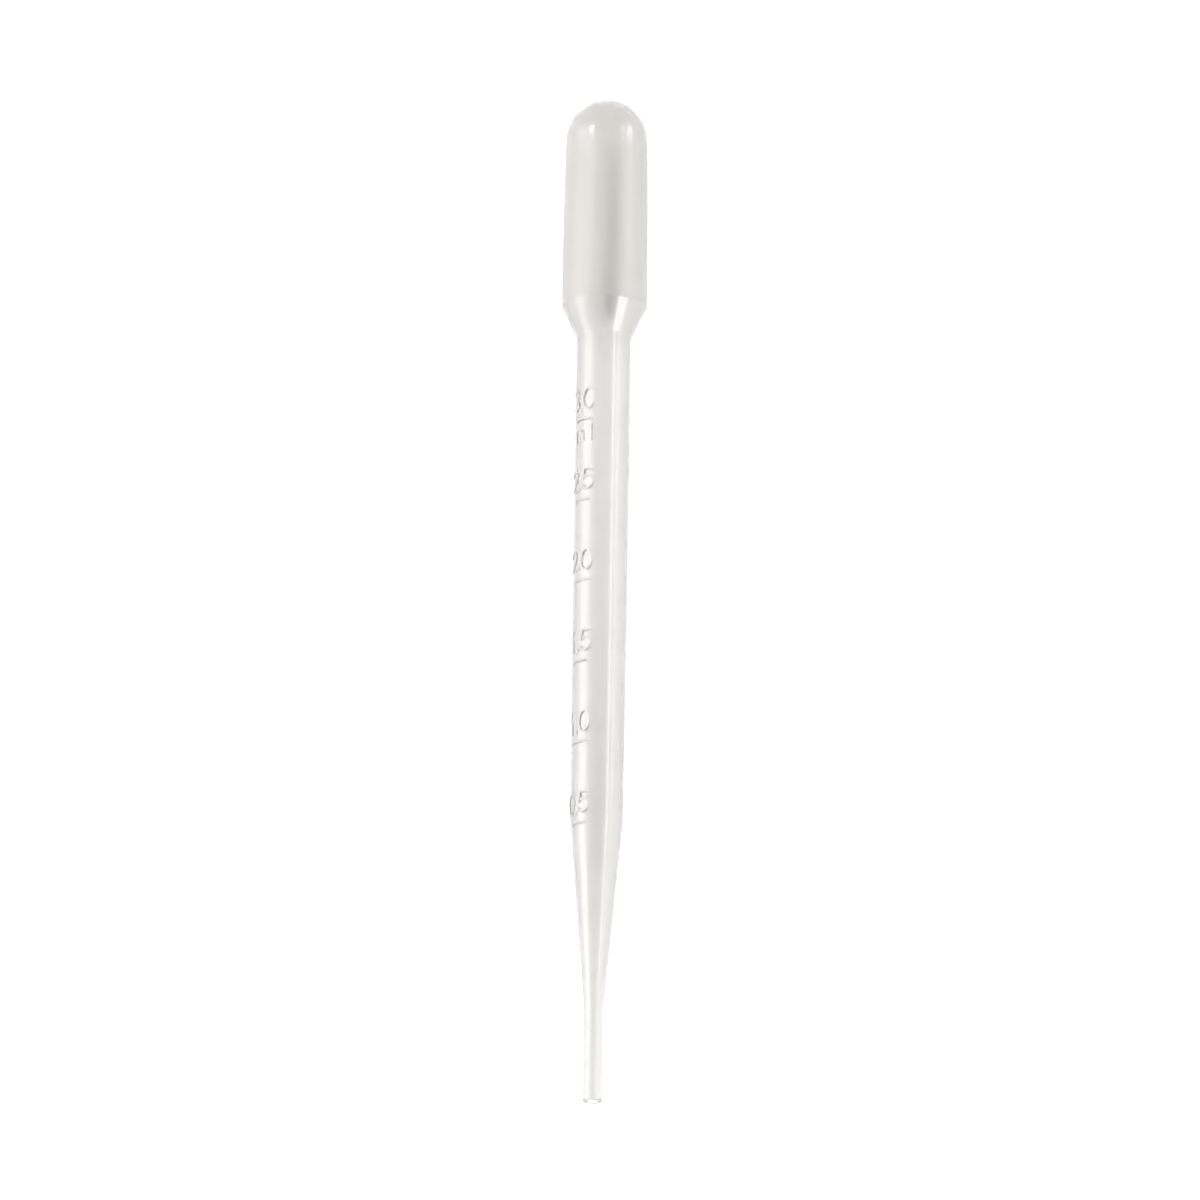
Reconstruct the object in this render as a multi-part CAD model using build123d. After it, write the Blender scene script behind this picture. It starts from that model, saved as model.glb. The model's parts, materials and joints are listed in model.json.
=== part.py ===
# A plastic dropper pipette, the soft 3 ml kind that is moulded in one piece.
# A thin-walled bulb narrows through a short cone to a straight stem, then through
# a long taper to a narrow open tip. Six raised lines on the stem mark the volume.
#
# Heights are measured along the pipette's axis, from the end of the tip. It is made
# along +Y and then laid down as it comes to rest on a bench, on its stem and its
# bulb, with the tip just clear. +Y points to the bulb and +Z is up, and the origin
# is on the bench, under the middle of the length. All sizes are in millimetres.

from build123d import *
import math
import os

# Lengths of the sections, from the end of the tip to the crown of the bulb
tip_length = 14.4
taper_length = 29.0
lower_stem_length = 33.1
upper_stem_length = 41.7
cone_length = 4.8
bulb_length = 32.0

# Outer radii
tip_radius = 1.40
taper_top_radius = 3.91
stem_radius = 4.04
bulb_radius = 6.32
bulb_side_radius = 1250.0  # the long curve that draws the bulb in towards its crown

# Wall thicknesses. The stem's puts 3 ml below the top line.
tip_wall = 0.55
stem_wall = 0.42
bulb_wall = 0.40

# Roundings where two sections meet, on the outside
tip_edge_round = 0.15
taper_foot_round = 80.0
taper_top_round = 15.0
cone_foot_round = 1.0
shoulder_round = 1.0

# Volume scale: raised lines on one side of the stem, the first and every other one short
line_count = 6
first_line_height = 42.1
line_pitch = 12.5
line_width = 0.50
line_relief = 0.18
long_line_sweep = 46.0
short_line_sweep = 35.0
scale_bearing = -66.0  # where every line starts, in degrees round from straight up

bore_run_out = 1.0  # how far the hollow is cut past the end of the tip

# Heights where the sections meet
taper_foot = tip_length
taper_top = taper_foot + taper_length
draft_top = taper_top + lower_stem_length
cone_foot = draft_top + upper_stem_length
shoulder = cone_foot + cone_length
crown = shoulder + bulb_length


def bulb_crown(widest, side_radius, top):
    """Radius of the round crown, and the angle from its equator to the bulb's side.

    The side is an arc that leaves the widest ring along the axis. The crown is the
    arc centred on the axis that touches it from inside, so the distance between
    their two centres is the difference of their radii.
    """
    length = top - shoulder
    radius = (2 * side_radius * widest - widest**2 - length**2) / (2 * (side_radius - length))
    lean = math.asin((length - radius) / (side_radius - radius))
    return radius, lean


def rounded(outline, corner, radius):
    """The outline with its corner nearest to this point rounded."""
    return fillet(outline.vertices().sort_by_distance(Vector(0, *corner))[0], radius)


def solid_within(start, tip_depth, stem_depth, bulb_depth):
    """The solid inside a turned surface that lies this deep in the wall.

    With no depth it is the whole outer form. With the wall's thickness it is the
    hollow, which starts below the end of the tip and so leaves it open.
    """
    widest = bulb_radius - bulb_depth
    top = crown - bulb_depth
    crown_radius, lean = bulb_crown(widest, bulb_side_radius - bulb_depth, top)

    # Each point is a height along the axis and a radius
    tip_end = (start, tip_radius - tip_depth)
    foot_of_taper = (taper_foot, tip_radius - tip_depth)
    top_of_taper = (taper_top, taper_top_radius - stem_depth)
    top_of_draft = (draft_top, stem_radius - stem_depth)
    foot_of_cone = (cone_foot, stem_radius - stem_depth)
    widest_ring = (shoulder, widest)
    side_end = (
        top - crown_radius + crown_radius * math.sin(lean),
        crown_radius * math.cos(lean),
    )
    with BuildSketch(Plane.YZ) as section:
        with BuildLine():
            Polyline(
                (start, 0),
                tip_end,
                foot_of_taper,
                top_of_taper,
                top_of_draft,
                foot_of_cone,
                widest_ring,
            )
            # An arc as flat as the side turns into a poor surface, and a spline doesn't
            side_slope = (math.cos(lean), -math.sin(lean))
            Spline(widest_ring, side_end, tangents=[(1, 0), side_slope])
            RadiusArc(side_end, (top, 0), crown_radius)
            Line((top, 0), (start, 0))
        make_face()

    # Roundings on the hollow's side keep the wall even round each bend
    outline = section.sketch
    outline = rounded(outline, foot_of_taper, taper_foot_round + tip_depth)
    outline = rounded(outline, top_of_taper, taper_top_round - stem_depth)
    outline = rounded(outline, foot_of_cone, cone_foot_round + stem_depth)
    outline = rounded(outline, widest_ring, shoulder_round - bulb_depth)
    if tip_depth == 0:
        outline = rounded(outline, tip_end, tip_edge_round)
    return revolve(outline, Axis.Y)


def wall_radius(height):
    """Outer radius at a height, on the straight run between two of the rings."""
    rings = [
        (0, tip_radius),
        (taper_foot, tip_radius),
        (taper_top, taper_top_radius),
        (draft_top, stem_radius),
        (cone_foot, stem_radius),
        (shoulder, bulb_radius),
    ]
    for (low, low_radius), (high, high_radius) in zip(rings, rings[1:]):
        if height <= high:
            share = (height - low) / (high - low)
            return low_radius + share * (high_radius - low_radius)
    return bulb_radius


def scale_line(height, sweep):
    """One raised line: a ridge with a round top that runs part of the way round."""
    ridge_radius = (line_width**2 / 4 + line_relief**2) / (2 * line_relief)
    ridge_centre = wall_radius(height) + line_relief - ridge_radius
    section = Plane.YZ * Pos(height, ridge_centre) * Circle(ridge_radius)
    return revolve(Rot(Y=scale_bearing) * section, Axis.Y, sweep)


pipette = solid_within(0, 0, 0, 0)
for index in range(line_count):
    is_short = index % 2 == 0
    pipette += scale_line(
        first_line_height + index * line_pitch,
        short_line_sweep if is_short else long_line_sweep,
    )
pipette -= solid_within(-bore_run_out, tip_wall, stem_wall, bulb_wall)

# Lying down, the bench touches the ring at the top of the taper and the bulb's widest
# ring. The weight is between them, so the tip stays clear of the bench.
rest_tilt = math.atan2(bulb_radius - taper_top_radius, shoulder - taper_top)
pipette = Rot(X=math.degrees(rest_tilt)) * pipette
lying = pipette.bounding_box()
pipette = Pos(0, -lying.center().Y, -lying.min.Z) * pipette

os.makedirs("parts", exist_ok=True)
export_step(pipette, "parts/pipette.step")
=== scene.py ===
"""The looks of a plastic dropper pipette, laid out as an add-on and run as a script.

It loads the packed model as a fixed frame, replaces its one solid with a finer surface
of the same form that also carries the raised numerals, and sets a plain stage round it.
"""

import json
import math

import bpy
import numpy as np
from mathutils import Matrix, Vector


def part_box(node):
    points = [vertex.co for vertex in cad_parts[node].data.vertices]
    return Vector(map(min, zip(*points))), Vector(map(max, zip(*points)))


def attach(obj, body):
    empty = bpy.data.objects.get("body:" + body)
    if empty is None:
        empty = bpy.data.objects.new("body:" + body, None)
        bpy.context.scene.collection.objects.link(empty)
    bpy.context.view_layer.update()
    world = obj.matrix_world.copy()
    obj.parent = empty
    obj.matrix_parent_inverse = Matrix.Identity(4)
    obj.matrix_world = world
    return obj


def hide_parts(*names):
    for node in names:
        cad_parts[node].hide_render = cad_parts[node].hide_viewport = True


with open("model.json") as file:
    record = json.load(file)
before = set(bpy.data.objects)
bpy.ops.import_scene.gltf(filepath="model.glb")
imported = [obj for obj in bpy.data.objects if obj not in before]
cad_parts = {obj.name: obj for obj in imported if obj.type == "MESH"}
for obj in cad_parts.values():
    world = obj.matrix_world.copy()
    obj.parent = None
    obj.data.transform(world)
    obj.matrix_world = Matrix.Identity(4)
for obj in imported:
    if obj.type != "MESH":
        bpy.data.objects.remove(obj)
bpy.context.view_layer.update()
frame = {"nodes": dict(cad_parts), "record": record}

bl_info = {
    "name": "Dropper Pipette",
    "version": (1, 0, 0),
    "blender": (4, 5, 0),
    "location": "View3D > Sidebar > Pipette",
    "description": "Builds a graduated plastic dropper pipette and a plain stage for it",
    "category": "Add Mesh",
}

MM = 0.001
NODE = "pipette"
MOUNTS = {mount["name"]: mount for mount in frame["record"]["mounts"]}

LINE_COUNT = 6
SCALE_STEP = 0.5  # millilitres from one line to the next

PLASTIC_IOR = 1.51

# Noise patterns in the plastic: features in a metre, and levels of detail
CLOUDS = (260.0, 3.0)
PATCHES = (700.0, 4.0)
WAVES = (900.0, 2.0)
GRAINS = (5000.0, 2.0)
NOISE_LOW = 0.3  # a noise lies mostly between these two
NOISE_HIGH = 0.7

WAVE_DRAW = 0.12  # scale of the waves along the pipette, which draws them out
SPECKS = 160.0  # fine specks in a metre
SPECK_CORE = 0.012  # a speck fades between these distances, in spacings of the specks
SPECK_EDGE = 0.018
PATCH_LOW = 0.97  # roughness of a patch, as a share of the plastic's own
PATCH_HIGH = 1.05
CLEAR_GRAIN = 0.0005 * MM  # depth of the fine grain
SATIN_GRAIN = 0.003 * MM

FLOOR_HALF = 3.0  # half the width of the floor, in metres
FLOOR_ROUGHNESS = 0.8
SHOULDER_BLUR = 3.0 * MM  # reach, on each side of the shoulder, where the painted contact shadow on the floor fades in
ROOM_TOP = 0.8  # rise of a direction, as a sine, from which the room is as bright as overhead

# Spacing of the wall's rings and columns, and the turn between columns on its plain side
PLAIN_STEP = 1.5 * MM
FINE_STEP = 0.12 * MM
PLAIN_TURN = math.radians(6.0)

ROUND_STEPS = 5  # rings in a rounding's reach, up to its corner
CROWN_RINGS = 22  # steps from the crown's foot to its top
EDGE_RINGS = 5  # steps round the outer edge of the tip

# The pipette's own axes: along it from tip to bulb, across it, and out of its top
ALONG = -np.array(MOUNTS["stem"]["axis"])
ALONG = ALONG / np.linalg.norm(ALONG)
ACROSS = np.array([1.0, 0.0, 0.0])
OUT = np.cross(ACROSS, ALONG)


def node_heights():
    """Height of each of the node's vertices along the axis, from the frame's origin."""
    mesh = frame["nodes"][NODE].data
    places = np.empty(len(mesh.vertices) * 3)
    mesh.vertices.foreach_get("co", places)
    return places.reshape(-1, 3) @ ALONG


def tip_end():
    """The point of the axis at the end of the tip, and the pipette's length."""
    heights = node_heights()
    stem = np.array(MOUNTS["stem"]["pos_m"])
    return stem + (heights.min() - stem @ ALONG) * ALONG, float(np.ptp(heights))


TIP_END, LENGTH = tip_end()
STEM_MIDDLE = float((np.array(MOUNTS["stem"]["pos_m"]) - TIP_END) @ ALONG)
STEM_HALF = MOUNTS["stem"]["dims"]["length_mm"] * MM / 2
BULB_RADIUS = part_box(NODE)[1].x


def length_property(name, description, default):
    """A size in metres that a user may change."""
    return bpy.props.FloatProperty(
        name=name, description=description, default=default,
        min=0.0, precision=5, unit="LENGTH", subtype="DISTANCE",
    )


def share_property(name, description, default):
    """A share from 0 to 1 that a user may change."""
    return bpy.props.FloatProperty(
        name=name, description=description, default=default, min=0.0, max=1.0, subtype="FACTOR")


def angle_property(name, description, degrees):
    """An angle that a user may change. Its default is given in degrees."""
    return bpy.props.FloatProperty(
        name=name, description=description, default=math.radians(degrees),
        unit="ROTATION", subtype="ANGLE",
    )


def number_property(name, description, default, unit="NONE"):
    """Any other number that a user may change."""
    return bpy.props.FloatProperty(name=name, description=description, default=default, unit=unit)


def tint_property(name, description, default):
    """A colour that a user may change."""
    return bpy.props.FloatVectorProperty(
        name=name, description=description, default=default, min=0.0, max=1.0, subtype="COLOR")


class PipetteForm(bpy.types.PropertyGroup):
    """Sizes of the pipette's wall. Heights are along the axis from the end of the tip."""

    taper_foot: length_property("Taper foot", "Height where the taper starts", 14.4 * MM)
    taper_top: length_property("Taper top", "Height where the taper meets the stem", 43.4 * MM)
    taper_top_radius: length_property("Taper top radius", "Radius at the top of the taper", 3.91 * MM)
    stem_foot: length_property("Stem foot", "Height where the stem gets its full width",
                               STEM_MIDDLE - STEM_HALF)
    cone_foot: length_property("Cone foot", "Height where the cone starts", STEM_MIDDLE + STEM_HALF)
    cone_length: length_property("Cone length", "Length of the cone under the bulb", 4.8 * MM)
    side_radius: length_property("Side radius", "Radius of the bulb's side curve", 1.25)
    stem_wall: length_property("Stem wall", "Thickness of the stem's wall", 0.42 * MM)
    bulb_wall: length_property("Bulb wall", "Thickness of the bulb's wall", 0.40 * MM)
    foot_round: length_property("Foot rounding", "Reach of the rounding at the taper's foot", 3.5 * MM)
    top_round: length_property("Top rounding", "Reach of the rounding at the taper's top", 0.62 * MM)
    cone_round: length_property("Cone rounding", "Reach of the roundings at the cone", 0.22 * MM)
    edge_round: length_property("Edge rounding", "Radius of the edge of the tip", 0.15 * MM)


def wall_at(form, heights, depth_tip, depth_stem, depth_bulb):
    """Radius of the wall at each height, from the tip up to where the crown starts.

    Straight runs join rings at set heights. Each corner between two runs is rounded by
    adding (change of slope) / (4 reach) times the square of how far inside the
    rounding's reach a height lies. The bulb's side is a circle's arc of great radius.
    """
    shoulder = form.cone_foot + form.cone_length
    widest = BULB_RADIUS - depth_bulb
    stem = MOUNTS["stem"]["dims"]["r_mm"] * MM - depth_stem
    tip = MOUNTS["tip"]["dims"]["r_mm"] * MM - depth_tip
    rings = np.array([
        (0.0, tip),
        (form.taper_foot, tip),
        (form.taper_top, form.taper_top_radius - depth_stem),
        (form.stem_foot, stem),
        (form.cone_foot, stem),
        (shoulder, widest),
        (LENGTH, widest),
    ])
    radii = np.interp(heights, rings[:, 0], rings[:, 1])
    slopes = np.diff(rings[:, 1]) / np.diff(rings[:, 0])
    reaches = (form.foot_round, form.top_round, 0.0, form.cone_round, form.cone_round)
    for corner, reach in enumerate(reaches, start=1):
        if reach > 0.0:
            inside = np.maximum(0.0, reach - np.abs(heights - rings[corner, 0]))
            radii = radii + (slopes[corner] - slopes[corner - 1]) / (4 * reach) * inside**2
    past = np.maximum(0.0, heights - shoulder)
    return radii - past**2 / (2 * (form.side_radius - depth_bulb))


def crown_at(form, depth_bulb):
    """Radius of the bulb's round crown, its centre's height and where the side meets it.

    The side's arc leaves the widest ring along the axis, and the crown's arc is
    centred on the axis and touches it from inside.
    """
    shoulder = form.cone_foot + form.cone_length
    widest = BULB_RADIUS - depth_bulb
    side = form.side_radius - depth_bulb
    rise = LENGTH - depth_bulb - shoulder
    radius = (2 * side * widest - widest**2 - rise**2) / (2 * (side - rise))
    lean = math.asin((rise - radius) / (side - radius))
    return radius, shoulder + rise - radius, lean


class ScaleMarks(bpy.types.PropertyGroup):
    """The raised volume scale: six lines, every second one long, each under its numeral."""

    first_line: length_property("First line", "Height of the lowest line", 42.1 * MM)
    pitch: length_property("Pitch", "Height from one line to the next", 12.5 * MM)
    stroke_half_width: length_property("Stroke half width", "Half the width of a stroke", 0.24 * MM)
    broad_half_width: length_property("Broad half width", "Half the width of the mound under it", 0.45 * MM)
    line_relief: length_property("Line relief", "How far the lines stand out of their mound", 0.12 * MM)
    line_mound: length_property("Line mound", "How far the lines' mound stands out of the wall", 0.06 * MM)
    digit_relief: length_property("Digit relief", "How far the numerals stand out of theirs", 0.12 * MM)
    digit_mound: length_property("Digit mound", "How far the numerals' mound stands out", 0.06 * MM)
    inner_sharpness: share_property("Inner sharpness", "Share of the relief that shows inside", 0.4)
    digit_height: length_property("Digit height", "Height of a numeral's strokes", 3.0 * MM)
    digit_width: length_property("Digit width", "Width of a numeral's strokes", 1.80 * MM)
    digit_gap: length_property("Digit gap", "From a line's middle to the numeral's foot", 1.65 * MM)
    digit_step: length_property("Digit step", "From the first numeral's middle to the last's", 2.72 * MM)
    line_start: angle_property("Line start", "Where the lines start, round from the top", -66.0)
    long_sweep: angle_property("Long sweep", "How far round the long lines run", 46.0)
    short_sweep: angle_property("Short sweep", "How far round the short lines run", 35.0)
    last_digit: angle_property("Last digit", "Middle of the last numeral, round from the top", -31.0)
    unit_height: length_property("Unit height", "Height of the unit's tall letter", 2.35 * MM)
    unit_width: length_property("Unit width", "Width of the unit's first letter", 1.45 * MM)
    unit_drop: length_property("Unit drop", "From the top line down to the unit's foot", 3.25 * MM)
    unit_first: angle_property("Unit start", "Middle of its first letter, round from the top", -55.5)
    unit_last: angle_property("Unit end", "Middle of its last letter, round from the top", -23.0)


def arc(centre, radii, start_deg, end_deg, count=14):
    """Points on an ellipse's arc, in a glyph's own frame: 0 to 1 across and up."""
    angles = np.radians(np.linspace(start_deg, end_deg, count))
    return np.stack([centre[0] + radii[0] * np.cos(angles), centre[1] + radii[1] * np.sin(angles)], 1)


def glyph_strokes():
    """The strokes of each plain numeral and of the unit's two letters.

    A stroke is a run of points in a box 1 wide and 1 high, so each glyph can be set at
    any size. The decimal point is one very short stroke.
    """
    return {
        "0": [arc((0.5, 0.5), (0.5, 0.5), 0, 360, 33)],
        "1": [np.array([(0.2, 0.78), (0.55, 1.0), (0.55, 0.0)])],
        "2": [np.concatenate([arc((0.5, 0.70), (0.45, 0.30), 165, -35), [(0.05, 0.0), (1.0, 0.0)]])],
        "3": [arc((0.46, 0.75), (0.42, 0.25), 150, -90), arc((0.46, 0.26), (0.50, 0.26), 90, -150)],
        "5": [np.concatenate([[(0.95, 1.0), (0.22, 1.0), (0.12, 0.56)],
                              arc((0.48, 0.33), (0.50, 0.33), 130, -150)])],
        ".": [np.array([(0.5, 0.0), (0.5, 0.02)])],
        "m": [np.array([(0.0, 0.0), (0.0, 0.62)]),
              np.concatenate([arc((0.26, 0.42), (0.26, 0.20), 180, 0), [(0.52, 0.0)]]),
              np.concatenate([arc((0.78, 0.42), (0.26, 0.20), 180, 0), [(1.04, 0.0)]])],
        "l": [np.array([(0.5, 0.0), (0.5, 1.0)])],
    }


def distance_to(stroke, across, up):
    """Distance from each place of a grid to a run of points joined by straight pieces.

    For each piece the nearest place on it is found by projection, held between its two
    ends, and the least distance over the pieces is kept.
    """
    nearest = np.full(across.shape, np.inf)
    for (x0, y0), (x1, y1) in zip(stroke[:-1], stroke[1:]):
        run, rise = x1 - x0, y1 - y0
        share = ((across - x0) * run + (up - y0) * rise) / (run * run + rise * rise)
        share = np.clip(share, 0.0, 1.0)
        nearest = np.minimum(nearest, np.hypot(across - x0 - share * run, up - y0 - share * rise))
    return nearest


def ridge(distance, half_width, relief):
    """A soft ridge: relief times the square of 1 less (distance / half width) squared."""
    return relief * np.clip(1.0 - (distance / half_width) ** 2, 0.0, None) ** 2


def scale_relief(marks, heights, angles, sharpness):
    """How far the scale stands out of the wall, at each height (rows) and angle (columns).

    A mark is a narrow ridge on a broad one. The wall was blown into its mould, so its
    inside follows the broad ridge and only a share of the narrow one, the sharpness.
    Places on the wall are measured in metres up the axis and round the stem, so that
    marks keep their true size on its curve.
    """
    stem = MOUNTS["stem"]["dims"]["r_mm"] * MM
    round_stem = np.broadcast_to(angles[None, :] * stem, (len(heights), len(angles)))
    up = np.broadcast_to(heights[:, None], round_stem.shape)
    raised = np.zeros(round_stem.shape)
    start = marks.line_start * stem
    last = marks.last_digit * stem
    glyphs = glyph_strokes()

    def add(strokes, narrow, broad):
        """Raise strokes that are placed on the wall, with these two reliefs."""
        lowest = min(stroke[:, 1].min() for stroke in strokes) - marks.broad_half_width
        highest = max(stroke[:, 1].max() for stroke in strokes) + marks.broad_half_width
        rows = np.nonzero((heights > lowest) & (heights < highest))[0]
        if len(rows) == 0:
            return
        part = slice(rows[0], rows[-1] + 1)
        reach = np.min([distance_to(stroke, round_stem[part], up[part]) for stroke in strokes], 0)
        raised[part] += ridge(reach, marks.stroke_half_width, sharpness * narrow)
        raised[part] += ridge(reach, marks.broad_half_width, broad)

    def add_glyph(glyph, centre, foot, width, height):
        """Raise a glyph whose box has its foot's middle at this place."""
        placed = [stroke * (width, height) + (centre - width / 2, foot) for stroke in glyphs[glyph]]
        add(placed, marks.digit_relief, marks.digit_mound)

    for index in range(LINE_COUNT):
        line = marks.first_line + index * marks.pitch
        end = start + (marks.short_sweep if index % 2 == 0 else marks.long_sweep) * stem
        add([np.array([(start, line), (end, line)])], marks.line_relief, marks.line_mound)
        foot = line + marks.digit_gap
        whole, tenth = f"{(index + 1) * SCALE_STEP:.1f}".split(".")
        first = last - marks.digit_step
        add_glyph(whole, first, foot, marks.digit_width, marks.digit_height)
        add_glyph(".", (first + last) / 2, foot, 0.0, marks.digit_height)
        add_glyph(tenth, last, foot, marks.digit_width, marks.digit_height)

    foot = marks.first_line + (LINE_COUNT - 1) * marks.pitch - marks.unit_drop
    for letter, bearing, width in (
        ("m", marks.unit_first, marks.unit_width),
        ("l", marks.unit_last, 0.0),
    ):
        add_glyph(letter, bearing * stem, foot, width, marks.unit_height)
    return raised


def spaced(start, stop, step):
    """Even places from start to stop, no further apart than step."""
    return np.linspace(start, stop, max(2, int(math.ceil(abs(stop - start) / step)) + 1))


def ring_heights(form, marks, side_end):
    """Heights of the rings up one side of the wall, closest where its form is finest.

    The rings are wide apart on plain runs, closer in roundings, and closest of all in
    the bands of the scale.
    """
    shoulder = form.cone_foot + form.cone_length
    parts = [spaced(form.edge_round, side_end, PLAIN_STEP)]
    for corner, reach in (
        (form.taper_foot, form.foot_round),
        (form.taper_top, form.top_round),
        (form.stem_foot, form.top_round),
        (form.cone_foot, form.cone_round),
        (shoulder, form.cone_round),
    ):
        parts.append(spaced(corner - reach, corner + reach, reach / ROUND_STEPS))
    for index in range(LINE_COUNT):
        line = marks.first_line + index * marks.pitch
        low = line - (marks.unit_drop if index == LINE_COUNT - 1 else 0.0) - marks.broad_half_width
        high = line + marks.digit_gap + marks.digit_height + marks.broad_half_width
        parts.append(spaced(low, high, FINE_STEP))
    every = np.concatenate(parts)
    every = every[(every >= form.edge_round) & (every <= side_end)]
    return np.unique(np.round(every, 6))


def column_angles(marks):
    """Angles of the columns round the pipette, closest together across the scale."""
    stem = MOUNTS["stem"]["dims"]["r_mm"] * MM
    reach = (marks.digit_width / 2 + marks.broad_half_width) / stem
    first = marks.last_digit - marks.digit_step / stem - reach
    last = marks.last_digit + reach
    fine = spaced(first, last, FINE_STEP / stem)
    plain = spaced(last, first + 2 * math.pi, PLAIN_TURN)
    return np.concatenate([fine[:-1], plain[:-1]])


def wall_surface(form, marks):
    """Vertices, faces and satin faces of the whole wall, as one closed surface.

    A closed profile is carried round the axis. It runs from the top of the crown down
    the outside, over the rounded end of the tip, and up the inside to the hollow's own
    top. A vertex is the tip's end, plus its height along the axis, plus its radius
    times (sine of its angle across, cosine of its angle out). The two tops are single
    vertices with fans of triangles. Above the shoulder both sides are satin.
    """
    angles = column_angles(marks)
    tip = MOUNTS["tip"]["dims"]["r_mm"] * MM
    bore = MOUNTS["tip_bore"]["dims"]["r_mm"] * MM

    def side(depths, sharpness):
        """Heights and radii up one side: the wall, then the crown short of its top."""
        crown, centre, lean = crown_at(form, depths[2])
        heights = ring_heights(form, marks, centre + crown * math.sin(lean))
        turn = np.linspace(lean, math.pi / 2, CROWN_RINGS + 1)[1:-1]
        heights = np.concatenate([heights, centre + crown * np.sin(turn)])
        round_axis = np.concatenate(
            [wall_at(form, heights[:1 - CROWN_RINGS], *depths), crown * np.cos(turn)])
        return heights, round_axis[:, None] + scale_relief(marks, heights, angles, sharpness)

    outer_heights, outer = side((0.0, 0.0, 0.0), 1.0)
    inner_heights, inner = side((tip - bore, form.stem_wall, form.bulb_wall), marks.inner_sharpness)
    turn = np.linspace(0.0, math.pi / 2, EDGE_RINGS + 1)[1:]
    edge_heights = form.edge_round * (1 - np.sin(turn))
    edge_radii = tip - form.edge_round * (1 - np.cos(turn))

    end = np.repeat(np.concatenate([edge_radii, [bore]])[:, None], len(angles), 1)
    radii = np.concatenate([outer[::-1], end, inner])
    heights = np.concatenate([outer_heights[::-1], edge_heights, [0.0], inner_heights])

    outwards = np.sin(angles)[:, None] * ACROSS + np.cos(angles)[:, None] * OUT
    places = TIP_END + heights[:, None, None] * ALONG + radii[:, :, None] * outwards
    tops = TIP_END + np.array([[LENGTH], [LENGTH - form.bulb_wall]]) * ALONG
    vertices = np.concatenate([places.reshape(-1, 3), tops])

    rings, columns = radii.shape
    index = np.arange(rings * columns).reshape(rings, columns)
    beside = np.roll(index, -1, axis=1)
    quads = np.stack([index[:-1], index[1:], beside[1:], beside[:-1]], -1).reshape(-1, 4)
    outer_top, inner_top = rings * columns, rings * columns + 1
    fans = np.concatenate([
        np.stack([np.full(columns, outer_top), index[0], beside[0]], -1),
        np.stack([np.full(columns, inner_top), beside[-1], index[-1]], -1),
    ])
    above = (heights[:-1] + heights[1:]) / 2 > form.cone_foot + form.cone_length
    is_satin = np.concatenate([np.repeat(above, columns), np.ones(2 * columns, bool)])
    return vertices, quads, fans, is_satin


def add_mesh(name, vertices, quads, fans):
    """A new smooth-shaded object at the origin, from whole arrays of places and corners."""
    mesh = bpy.data.meshes.new(name)
    corners = np.concatenate([quads.ravel(), fans.ravel()])
    sizes = np.concatenate([np.full(len(quads), 4), np.full(len(fans), 3)])
    starts = np.concatenate([[0], np.cumsum(sizes)[:-1]])
    mesh.vertices.add(len(vertices))
    mesh.vertices.foreach_set("co", vertices.astype(np.float32).ravel())
    mesh.loops.add(len(corners))
    mesh.loops.foreach_set("vertex_index", corners.astype(np.int32))
    mesh.polygons.add(len(sizes))
    mesh.polygons.foreach_set("loop_start", starts.astype(np.int32))
    mesh.update(calc_edges=True)
    mesh.validate()
    mesh.shade_smooth()
    piece = bpy.data.objects.new(name, mesh)
    bpy.context.scene.collection.objects.link(piece)
    return piece


class PlasticFinish(bpy.types.PropertyGroup):
    """Colour and polish of the natural polyethylene, clear below and satin on the bulb."""

    stem_tint: tint_property("Stem tint", "Colour of the clear plastic", (0.93, 0.921, 0.904))
    bulb_tint: tint_property("Bulb tint", "Colour of the satin plastic", (0.934, 0.918, 0.897))
    stem_clearness: share_property("Stem clearness", "Share of light that passes through the stem", 0.955)
    bulb_clearness: share_property("Bulb clearness", "Share of light that passes through the bulb", 0.84)
    stem_roughness: share_property("Stem roughness", "How blurred the stem's shine is", 0.285)
    bulb_roughness: share_property("Bulb roughness", "How blurred the bulb's shine is", 0.31)
    stem_shine: share_property("Stem shine", "Specular level of the clear plastic under its skin", 0.15)
    bulb_shine: share_property("Bulb shine", "Specular level of the satin plastic under its skin", 0.1)
    skin_gloss: share_property("Skin gloss", "How strong the polished skin's shine is", 0.9)
    crown_gloss: share_property("Crown gloss", "The same for the crown's skin", 0.7)
    skin_roughness: share_property("Skin roughness", "How blurred the polished skin's shine is", 0.04)
    crown_polish_start: length_property("Polish start", "Height where the satin starts to end", 146.5 * MM)
    crown_polish_end: length_property("Polish end", "Height above which the crown is polished", 149.0 * MM)
    cloudiness: share_property("Cloudiness", "How much the tint varies from place to place", 0.03)
    speck_tint: tint_property("Speck tint", "Colour of the fine specks in the plastic", (0.25, 0.22, 0.18))
    speck_cover: share_property("Speck cover", "How strongly a speck hides the tint", 0.25)
    waviness: length_property("Waviness", "Depth of the faint waves that the mould left", 0.006 * MM)


def add_noise(nodes, links, coordinates, pattern):
    """A noise with this pattern's scale and detail, as a socket from 0 to 1."""
    noise = nodes.new("ShaderNodeTexNoise")
    noise.inputs["Scale"].default_value, noise.inputs["Detail"].default_value = pattern
    links.new(coordinates, noise.inputs["Vector"])
    return noise.outputs["Fac"]


def remap(nodes, links, value, low, high, to_low, to_high):
    """A value carried evenly from one range to another, and held at its ends."""
    mapped = nodes.new("ShaderNodeMapRange")
    for name, number in (("From Min", low), ("From Max", high), ("To Min", to_low), ("To Max", to_high)):
        mapped.inputs[name].default_value = number
    links.new(value, mapped.inputs["Value"])
    return mapped.outputs["Result"]


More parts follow.
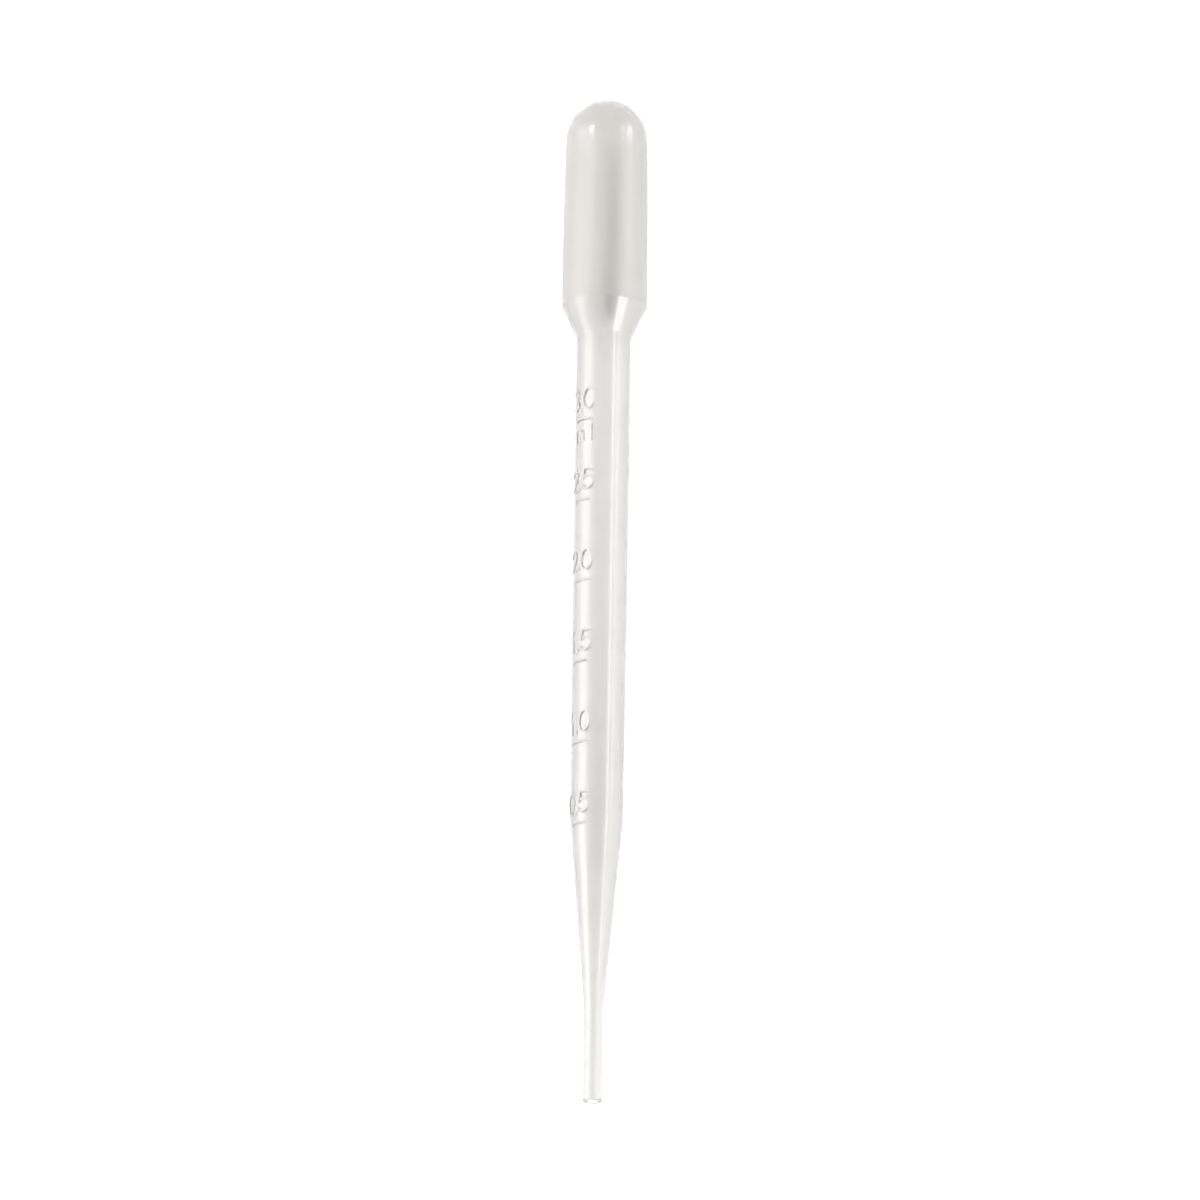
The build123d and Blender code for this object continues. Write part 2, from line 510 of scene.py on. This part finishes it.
def polyethylene(name, finish, tint, clearness, roughness, shine, is_polished, grain):
    """Natural polyethylene with this share of light passing through and this polish.

    Its tint is a little cloudy, with a few fine specks. Its surface has long faint
    waves down the pipette, from the parison that was blown, and a fine grain. A
    polished skin lies over the cloudier plastic, and satin plastic has that skin on
    its crown alone.
    """
    material = bpy.data.materials.new(name)
    material.use_nodes = True
    nodes, links = material.node_tree.nodes, material.node_tree.links
    shader = nodes["Principled BSDF"]
    shader.inputs["IOR"].default_value = PLASTIC_IOR
    shader.inputs["Transmission Weight"].default_value = clearness
    place = nodes.new("ShaderNodeTexCoord").outputs["Object"]

    cloud = add_noise(nodes, links, place, CLOUDS)
    shade = nodes.new("ShaderNodeValToRGB")
    shade.color_ramp.elements[0].position = NOISE_LOW
    shade.color_ramp.elements[0].color = (*(value * (1 - finish.cloudiness) for value in tint), 1.0)
    shade.color_ramp.elements[1].position = NOISE_HIGH
    shade.color_ramp.elements[1].color = (*tint, 1.0)
    links.new(cloud, shade.inputs["Fac"])
    speck = nodes.new("ShaderNodeTexVoronoi")
    speck.inputs["Scale"].default_value = SPECKS
    links.new(place, speck.inputs["Vector"])
    cover = remap(nodes, links, speck.outputs["Distance"], SPECK_CORE, SPECK_EDGE, finish.speck_cover, 0.0)
    speckled = nodes.new("ShaderNodeMix")
    speckled.data_type = "RGBA"
    links.new(cover, speckled.inputs["Factor"])
    links.new(shade.outputs["Color"], speckled.inputs["A"])
    speckled.inputs["B"].default_value = (*finish.speck_tint, 1.0)
    links.new(speckled.outputs["Result"], shader.inputs["Base Color"])

    patchy = add_noise(nodes, links, place, PATCHES)
    blur = remap(
        nodes, links, patchy, NOISE_LOW, NOISE_HIGH, roughness * PATCH_LOW, roughness * PATCH_HIGH)
    links.new(blur, shader.inputs["Roughness"])

    shader.inputs["Specular IOR Level"].default_value = shine
    shader.inputs["Coat IOR"].default_value = PLASTIC_IOR
    shader.inputs["Coat Roughness"].default_value = finish.skin_roughness
    shader.inputs["Coat Weight"].default_value = finish.skin_gloss
    if not is_polished:
        height = nodes.new("ShaderNodeVectorMath")
        height.operation = "DOT_PRODUCT"
        height.inputs[1].default_value = ALONG
        links.new(place, height.inputs[0])
        foot = float(TIP_END @ ALONG)
        polish = remap(nodes, links, height.outputs["Value"], foot + finish.crown_polish_start,
                       foot + finish.crown_polish_end, 0.0, finish.crown_gloss)
        links.new(polish, shader.inputs["Coat Weight"])

    drawn = nodes.new("ShaderNodeMapping")
    drawn.inputs["Scale"].default_value = (1.0, WAVE_DRAW, 1.0)
    links.new(place, drawn.inputs["Vector"])
    waves = nodes.new("ShaderNodeBump")
    waves.inputs["Distance"].default_value = finish.waviness
    links.new(add_noise(nodes, links, drawn.outputs[0], WAVES), waves.inputs["Height"])
    fine = nodes.new("ShaderNodeBump")
    fine.inputs["Distance"].default_value = grain
    links.new(add_noise(nodes, links, place, GRAINS), fine.inputs["Height"])
    links.new(waves.outputs["Normal"], fine.inputs["Normal"])
    links.new(fine.outputs["Normal"], shader.inputs["Normal"])
    return material


def finishes(finish):
    """The clear plastic of the stem and the satin plastic of the bulb."""
    return (
        polyethylene("clear_polyethylene", finish, finish.stem_tint, finish.stem_clearness,
                     finish.stem_roughness, finish.stem_shine, True, CLEAR_GRAIN),
        polyethylene("satin_polyethylene", finish, finish.bulb_tint, finish.bulb_clearness,
                     finish.bulb_roughness, finish.bulb_shine, False, SATIN_GRAIN),
    )


class PIPETTE_OT_add_pipette(bpy.types.Operator):
    """Build the pipette's wall with its raised scale, in place of the packed solid"""

    bl_idname = "pipette.add_pipette"
    bl_label = "Add Pipette"

    def execute(self, context):
        scene = context.scene
        form, marks, finish = scene.pipette_form, scene.pipette_marks, scene.pipette_finish
        vertices, quads, fans, is_satin = wall_surface(form, marks)
        piece = add_mesh("dropper_pipette", vertices, quads, fans)
        for material in finishes(finish):
            piece.data.materials.append(material)
        piece.data.polygons.foreach_set("material_index", is_satin.astype(np.int32))
        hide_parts(NODE)
        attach(piece, "root")
        return {"FINISHED"}


class StageSetting(bpy.types.PropertyGroup):
    """The floor, the room and the camera."""

    floor_colour: tint_property("Floor", "Colour of the floor", (0.45, 0.45, 0.45))
    floor_glow: number_property("Floor glow", "Light that comes up through the floor", 0.88)
    # The contact settings paint a shadow on the floor under the bulb: a dark colour and a dimmer glow, over
    # these gaps, weaker to the left
    contact_shadow_colour: tint_property("Contact", "Its colour where the bulb lies on it", (0.14, 0.125, 0.11))
    contact_reach: length_property("Contact reach", "Gap to the shoulder that dims it", 0.2 * MM)
    crown_reach: length_property("Crown reach", "Gap to the crown that dims it", 1.6 * MM)
    contact_left: length_property("Contact left", "How far left of the middle it starts to dim", 0.15 * MM)
    contact_full: length_property("Contact full", "How far right of the middle it dims fully", 1.0 * MM)
    room_low: number_property("Room low", "Brightness of the room level with the floor", 1.2)
    room_high: number_property("Room high", "Brightness of the room overhead", 0.33)
    lamp_distance: length_property("Lamp distance", "From the pipette to each lamp", 0.6)
    camera_elevation: angle_property("Elevation", "Camera's angle above the floor", 71.27)
    camera_roll: angle_property("Roll", "Camera's turn about its own view", 0.87)
    camera_distance: length_property("Camera distance", "From the camera to its target", 6.0)
    camera_aim: length_property("Camera aim", "Height of its target along the axis", LENGTH / 2)
    view_width: length_property("View width", "Width that the camera sees at its target", 0.178)


def lamp_setting(title, power, low_edge, high_edge, start, end):
    """Settings of one lamp. A lean below 0 puts it on the left.

    The lamp is a flat panel that faces the pipette. It reaches between two leans, in
    degrees from straight overhead, and between two places along the pipette.
    """
    return type(title, (bpy.types.PropertyGroup,), {"__doc__": f"The {title}.", "__annotations__": {
        "power": number_property("Power", "Power of the lamp", power, "POWER"),
        "low_edge": angle_property("Lower edge", "Lean of its lower edge from overhead", low_edge),
        "high_edge": angle_property("Upper edge", "Lean of its upper edge from overhead", high_edge),
        "start": number_property("Start", "Where it starts along the pipette", start, "LENGTH"),
        "end": number_property("End", "Where it ends along the pipette", end, "LENGTH"),
    }})


def add_floor(setting, form):
    """A wide pale floor under the pipette, lit from below as a light table is.

    Its light is dimmer where the bulb lies on it, by how much of the space just above
    the floor is taken up, and less so on the side of the lower, stronger lamp. The stem
    is clear and dims nothing.
    """
    square = np.array([(-1.0, -1.0, 0.0), (1.0, -1.0, 0.0), (1.0, 1.0, 0.0), (-1.0, 1.0, 0.0)])
    floor = add_mesh("floor", FLOOR_HALF * square, np.array([[0, 1, 2, 3]]), np.zeros((0, 3), int))
    material = bpy.data.materials.new("floor_with_painted_shadow")
    material.use_nodes = True
    nodes, links = material.node_tree.nodes, material.node_tree.links
    shader = nodes["Principled BSDF"]
    shader.inputs["Roughness"].default_value = FLOOR_ROUGHNESS
    shader.inputs["Specular IOR Level"].default_value = 0.0
    shader.inputs["Emission Color"].default_value = (1.0, 1.0, 1.0, 1.0)

    apart = nodes.new("ShaderNodeSeparateXYZ")
    links.new(nodes.new("ShaderNodeTexCoord").outputs["Object"], apart.inputs[0])
    shoulder = (TIP_END + (form.cone_foot + form.cone_length) * ALONG)[1]
    crown = (TIP_END + (LENGTH - BULB_RADIUS) * ALONG)[1]
    along, across = apart.outputs["Y"], apart.outputs["X"]
    under_bulb = remap(nodes, links, along, shoulder - SHOULDER_BLUR, shoulder + SHOULDER_BLUR, 0.0, 1.0)
    reach = remap(nodes, links, along, shoulder, crown, setting.contact_reach, setting.crown_reach)
    open_space = nodes.new("ShaderNodeAmbientOcclusion")
    links.new(reach, open_space.inputs["Distance"])
    taken = remap(nodes, links, open_space.outputs["AO"], 0.0, 1.0, 1.0, 0.0)
    # the painted shadow is weaker to the left, as if the lower, stronger lamp lit under the bulb
    from_left = remap(nodes, links, across, -setting.contact_left, setting.contact_full, 0.0, 1.0)
    # painted shade: the share by which the floor's glow is dimmed and its colour darkened under the bulb
    painted_shade = taken
    for share in (under_bulb, from_left):
        product = nodes.new("ShaderNodeMath")
        product.operation = "MULTIPLY"
        links.new(painted_shade, product.inputs[0])
        links.new(share, product.inputs[1])
        painted_shade = product.outputs[0]
    # the floor's glow, dimmed by the painted shade
    glow = remap(nodes, links, painted_shade, 0.0, 1.0, setting.floor_glow, 0.0)
    links.new(glow, shader.inputs["Emission Strength"])
    # painted shadow: the floor's colour is darkened towards the contact shadow colour
    shadow = nodes.new("ShaderNodeMix")
    shadow.data_type = "RGBA"
    links.new(painted_shade, shadow.inputs["Factor"])
    shadow.inputs["A"].default_value = (*setting.floor_colour, 1.0)
    shadow.inputs["B"].default_value = (*setting.contact_shadow_colour, 1.0)
    links.new(shadow.outputs["Result"], shader.inputs["Base Color"])
    floor.data.materials.append(material)


def add_lamp(name, lamp_set, distance):
    """A panel of light that faces the middle of the pipette from this far away.

    Its middle is at the mean of its two leans and of its two places along the pipette,
    and its width is twice the distance times the tangent of half the angle it spans.
    """
    lean = (lamp_set.low_edge + lamp_set.high_edge) / 2
    spread = abs(lamp_set.low_edge - lamp_set.high_edge) / 2
    lamp = bpy.data.lights.new(name, "AREA")
    lamp.shape = "RECTANGLE"
    lamp.size = 2 * distance * math.tan(spread)
    lamp.size_y = lamp_set.end - lamp_set.start
    lamp.energy = lamp_set.power
    holder = bpy.data.objects.new(name, lamp)
    holder.location = distance * Vector((math.sin(lean), 0.0, math.cos(lean)))
    holder.location.y = (lamp_set.start + lamp_set.end) / 2
    holder.rotation_euler = (0.0, lean, 0.0)
    bpy.context.scene.collection.objects.link(holder)


def add_room(setting):
    """A plain room whose light fades from the horizon to overhead."""
    world = bpy.data.worlds.new("room")
    world.use_nodes = True
    nodes, links = world.node_tree.nodes, world.node_tree.links
    upward = nodes.new("ShaderNodeSeparateXYZ")
    links.new(nodes.new("ShaderNodeTexCoord").outputs["Generated"], upward.inputs[0])
    fade = remap(nodes, links, upward.outputs["Z"], 0.0, ROOM_TOP, setting.room_low, setting.room_high)
    links.new(fade, nodes["Background"].inputs["Strength"])
    nodes["Background"].inputs["Color"].default_value = (1.0, 1.0, 1.0, 1.0)
    bpy.context.scene.world = world


def add_camera(setting):
    """A camera with a very long lens, high on the tip's side, so the bulb is at the top."""
    lens = bpy.data.cameras.new("camera")
    lens.sensor_width = 36.0
    lens.lens = lens.sensor_width * setting.camera_distance / setting.view_width
    lens.clip_end = 2 * setting.camera_distance
    camera = bpy.data.objects.new("camera", lens)
    rise = setting.camera_elevation
    look = Vector((0.0, math.cos(rise), -math.sin(rise)))
    turn = look.to_track_quat("-Z", "Y").to_matrix() @ Matrix.Rotation(setting.camera_roll, 3, "Z")
    target = Vector(TIP_END + setting.camera_aim * ALONG)
    camera.matrix_world = Matrix.Translation(target - look * setting.camera_distance) @ turn.to_4x4()
    bpy.context.scene.collection.objects.link(camera)
    bpy.context.scene.camera = camera


class PIPETTE_OT_set_stage(bpy.types.Operator):
    """Set the floor, the lamps, the room and the camera"""

    bl_idname = "pipette.set_stage"
    bl_label = "Set Stage"

    def execute(self, context):
        setting = context.scene.pipette_stage
        add_floor(setting, context.scene.pipette_form)
        for name in LAMPS:
            add_lamp(name, getattr(context.scene, f"pipette_{name}"), setting.lamp_distance)
        add_room(setting)
        context.scene.view_settings.view_transform = "Standard"
        add_camera(setting)
        return {"FINISHED"}


class VIEW3D_PT_pipette(bpy.types.Panel):
    """The sidebar's list of the pipette's steps and sizes"""

    bl_idname = "VIEW3D_PT_pipette"
    bl_label = "Dropper Pipette"
    bl_space_type = "VIEW_3D"
    bl_region_type = "UI"
    bl_category = "Pipette"

    def draw(self, context):
        for operator in OPERATORS:
            self.layout.operator(operator.bl_idname)
        for group in SETTINGS:
            box = self.layout.box()
            values = getattr(context.scene, group)
            for name in values.__annotations__:
                box.prop(values, name)


# Each lamp's power in watts, its two leans in degrees and its two places in metres
LAMPS = {
    "left_lamp": lamp_setting("LeftLamp", 0.84, -88.0, -50.0, -0.25, 0.34),
    "low_lamp": lamp_setting("LowLamp", 1.55, -88.0, -50.0, -0.25, 0.19),
    "right_lamp": lamp_setting("RightLamp", 0.3, 70.0, 64.0, -0.60, 0.40),
    "strip_lamp": lamp_setting("StripLamp", 0.65, 48.0, 42.0, -0.60, 0.40),
    "cone_lamp": lamp_setting("ConeLamp", 0.6, 69.0, 44.0, -0.40, -0.15),
    "crown_lamp": lamp_setting("CrownLamp", 0.4, 74.0, 60.0, 0.26, 0.40),
    "spot_lamp": lamp_setting("SpotLamp", 0.35, -50.0, -38.0, 0.28, 0.37),
}
SETTINGS = {
    "pipette_form": PipetteForm,
    "pipette_marks": ScaleMarks,
    "pipette_finish": PlasticFinish,
    "pipette_stage": StageSetting,
    **{f"pipette_{name}": group for name, group in LAMPS.items()},
}
OPERATORS = (PIPETTE_OT_add_pipette, PIPETTE_OT_set_stage)


def register():
    """Add the classes, and give every scene the settings."""
    for group in (*SETTINGS.values(), *OPERATORS, VIEW3D_PT_pipette):
        bpy.utils.register_class(group)
    for name, group in SETTINGS.items():
        setattr(bpy.types.Scene, name, bpy.props.PointerProperty(type=group))


def unregister():
    """Take the settings and the classes away again."""
    for name in SETTINGS:
        delattr(bpy.types.Scene, name)
    for group in reversed((*SETTINGS.values(), *OPERATORS, VIEW3D_PT_pipette)):
        bpy.utils.unregister_class(group)


def main():
    """Build the pipette and its stage, and write the two boxes that are compared."""
    register()
    bpy.ops.pipette.add_pipette()
    bpy.ops.pipette.set_stage()


if __name__ == "__main__":
    main()
